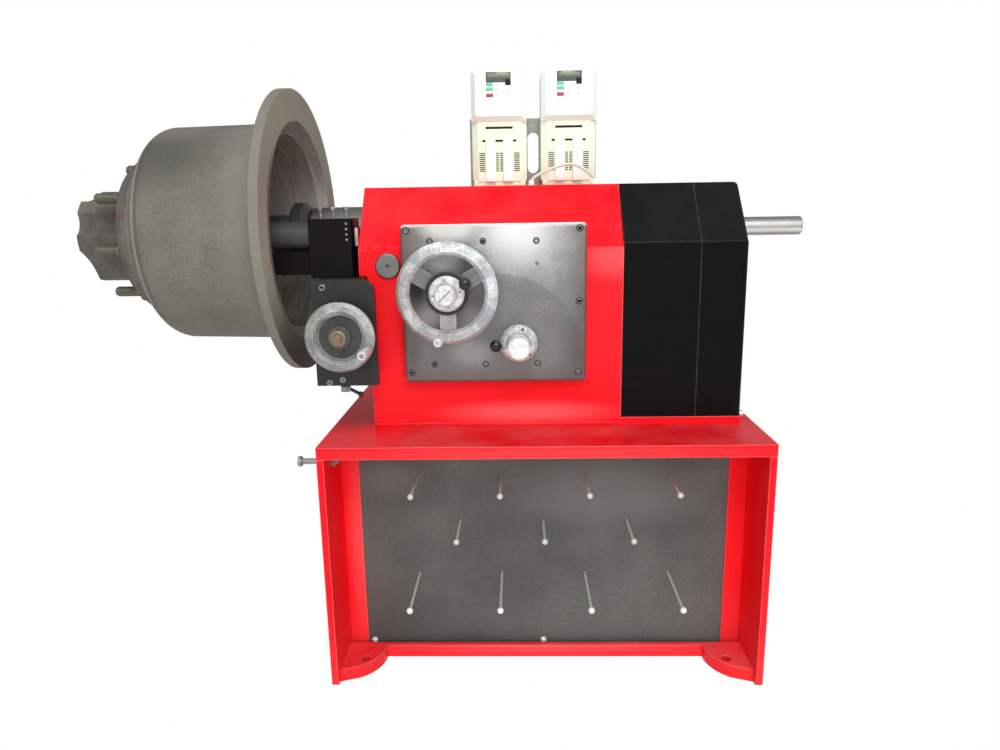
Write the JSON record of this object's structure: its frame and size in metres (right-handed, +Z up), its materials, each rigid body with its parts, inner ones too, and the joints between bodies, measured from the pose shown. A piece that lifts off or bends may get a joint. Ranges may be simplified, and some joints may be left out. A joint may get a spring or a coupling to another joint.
{
  "type": "brake lathe",
  "caption": "Workshop brake lathe on a steel stand: a fed spindle turns a mounted truck drum while a cross-slide carries the cutting tool.",
  "frame": {"origin": "on the floor, at the middle of the four anchor holes in the foot pads", "axes": "+X along the spindle to the operator's right, -Y towards the operator, +Z up"},
  "size_m": [1.565, 0.658, 1.276],
  "materials": {
    "red_paint": "gloss enamel over cast iron and steel sheet",
    "black_paint": "semi-matte black enamel on sheet steel",
    "grey_board": "dark grey enamel on sheet steel",
    "ground_steel": "ground steel plate, satin",
    "machined_steel": "turned and milled steel",
    "dark_steel": "blackened steel",
    "zinc_steel": "bright zinc-plated steel",
    "chrome_trim": "polished chrome plate",
    "drum_iron": "used cast iron with a thin film of rust",
    "hub_iron": "used cast iron with traces of red paint",
    "bronze": "plain bearing bronze",
    "motor_grey": "grey motor enamel",
    "belt_rubber": "fabric-backed rubber belt",
    "ivory_plastic": "ivory moulded case",
    "black_knob": "black moulded knob",
    "lead_sheath": "white cable sheath",
    "nut_buff": "buff passivated nut"
  },
  "bodies": {
    "frame": {"stand_top": "red_paint", "left_side_panel": "red_paint", "right_side_panel": "red_paint", "board_uprights": "red_paint", "floor_frame": "red_paint", "peg_board": "grey_board", "hanging_pegs": "zinc_steel", "rear_panel": "grey_board", "hanger_bolt": "zinc_steel", "head_casing": "red_paint", "rear_cover": "red_paint", "belt_cover": "black_paint", "end_cover": "black_paint", "base_bolts": "zinc_steel", "control_plate": "ground_steel", "front_plug": "machined_steel", "bronze_bushes": "bronze", "feed_belt": "belt_rubber", "feed_motor": "motor_grey", "drive_motor": "motor_grey", "drive_belt": "belt_rubber", "pulley_bracket": "motor_grey", "pulley_bearing": "zinc_steel", "cross_slide_base": "dark_steel", "cross_slide_plate": "dark_steel", "motor_drives": "ivory_plastic", "drive_mount": "ground_steel", "motor_lead": "lead_sheath"},
    "quill": {"quill": "machined_steel", "feed_rack": "dark_steel", "spindle_bearings": "zinc_steel"},
    "spindle": {"spindle": "machined_steel", "clamp_collar": "dark_steel", "brake_drum": "drum_iron", "wheel_hub": "hub_iron", "centring_cones": "dark_steel", "arbor_nut": "dark_steel", "wheel_studs": "hub_iron"},
    "feed_wheel": {"feed_handwheel": "chrome_trim", "feed_shaft": "machined_steel", "feed_pulley": "machined_steel"},
    "feed_grip": {"feed_grip": "machined_steel"},
    "clutch_dial": {"clutch_dial": "chrome_trim"},
    "clutch_knob": {"clutch_knob": "chrome_trim"},
    "feed_motor_shaft": {"feed_motor_pulley": "machined_steel"},
    "selector_dial": {"selector_dial": "chrome_trim"},
    "selector_knob": {"selector_knob": "chrome_trim"},
    "drive_pulley": {"drive_pulley": "machined_steel"},
    "motor_shaft": {"motor_pulley": "machined_steel"},
    "cross_slide": {"cross_carriage": "dark_steel", "cross_nut": "bronze", "tool_post": "dark_steel", "clamp_screws": "dark_steel", "tool_arm": "dark_steel", "tool_bit": "machined_steel"},
    "cross_wheel": {"cross_handwheel": "chrome_trim", "cross_screw": "machined_steel", "cross_end_nut": "nut_buff"},
    "cross_grip": {"cross_grip": "machined_steel"},
    "slide_lock": {"slide_lock": "dark_steel"}
  },
  "joints": [
    {"name": "quill_feed", "type": "slide", "parent": "frame", "child": "quill", "axis": [1, 0, 0], "range_m": [-0.09, 0.05]},
    {"name": "spindle_spin", "type": "hinge", "parent": "quill", "child": "spindle", "pos_m": [-0.3, 0.03, 0.934], "axis": [1, 0, 0], "continuous": true},
    {"name": "feed_wheel_turn", "type": "hinge", "parent": "frame", "child": "feed_wheel", "pos_m": [-0.188, -0.18, 0.82], "axis": [0, 1, 0], "range_deg": [-102, 57]},
    {"name": "feed_grip_turn", "type": "hinge", "parent": "feed_wheel", "child": "feed_grip", "pos_m": [-0.20145, -0.25, 0.73506], "axis": [0, 1, 0], "continuous": true},
    {"name": "clutch_dial_turn", "type": "hinge", "parent": "feed_wheel", "child": "clutch_dial", "pos_m": [-0.188, -0.222, 0.82], "axis": [0, 1, 0], "range_deg": [-30, 30]},
    {"name": "clutch_knob_turn", "type": "hinge", "parent": "feed_wheel", "child": "clutch_knob", "pos_m": [-0.188, -0.25, 0.82], "axis": [0, 1, 0], "range_deg": [-180, 180]},
    {"name": "feed_motor_turn", "type": "hinge", "parent": "frame", "child": "feed_motor_shaft", "pos_m": [-0.262, -0.004, 0.65], "axis": [0, 1, 0], "range_deg": [-230, 130]},
    {"name": "selector_dial_turn", "type": "hinge", "parent": "frame", "child": "selector_dial", "pos_m": [-0.049, -0.164, 0.711], "axis": [0, 1, 0], "range_deg": [-45, 45]},
    {"name": "selector_knob_turn", "type": "hinge", "parent": "frame", "child": "selector_knob", "pos_m": [-0.049, -0.2, 0.711], "axis": [0, 1, 0], "range_deg": [-135, 135]},
    {"name": "drive_pulley_turn", "type": "hinge", "parent": "frame", "child": "drive_pulley", "pos_m": [0.262, 0.03, 0.934], "axis": [1, 0, 0], "continuous": true},
    {"name": "motor_shaft_turn", "type": "hinge", "parent": "frame", "child": "motor_shaft", "pos_m": [0.262, 0.11, 0.65], "axis": [1, 0, 0], "continuous": true},
    {"name": "cross_feed", "type": "slide", "parent": "frame", "child": "cross_slide", "axis": [0, 1, 0], "range_m": [-0.036, 0.015]},
    {"name": "cross_wheel_turn", "type": "hinge", "parent": "frame", "child": "cross_wheel", "pos_m": [-0.394, -0.24, 0.742], "axis": [0, 1, 0], "range_deg": [-2600, 1090]},
    {"name": "cross_grip_turn", "type": "hinge", "parent": "cross_wheel", "child": "cross_grip", "pos_m": [-0.33919, -0.29, 0.7176], "axis": [0, 1, 0], "continuous": true},
    {"name": "slide_lock_turn", "type": "hinge", "parent": "frame", "child": "slide_lock", "pos_m": [-0.405, -0.184, 0.63], "axis": [0, 0, 1], "range_deg": [-40, 40]}
  ],
  "couplings": [
    {"joint": "feed_wheel_turn", "follows": "quill_feed", "rad_per_m": 19.608},
    {"joint": "feed_motor_turn", "follows": "quill_feed", "rad_per_m": 42.484},
    {"joint": "drive_pulley_turn", "follows": "spindle_spin", "ratio": 1},
    {"joint": "motor_shaft_turn", "follows": "spindle_spin", "ratio": 1.75},
    {"joint": "cross_wheel_turn", "follows": "cross_feed", "rad_per_m": 1256.6}
  ]
}
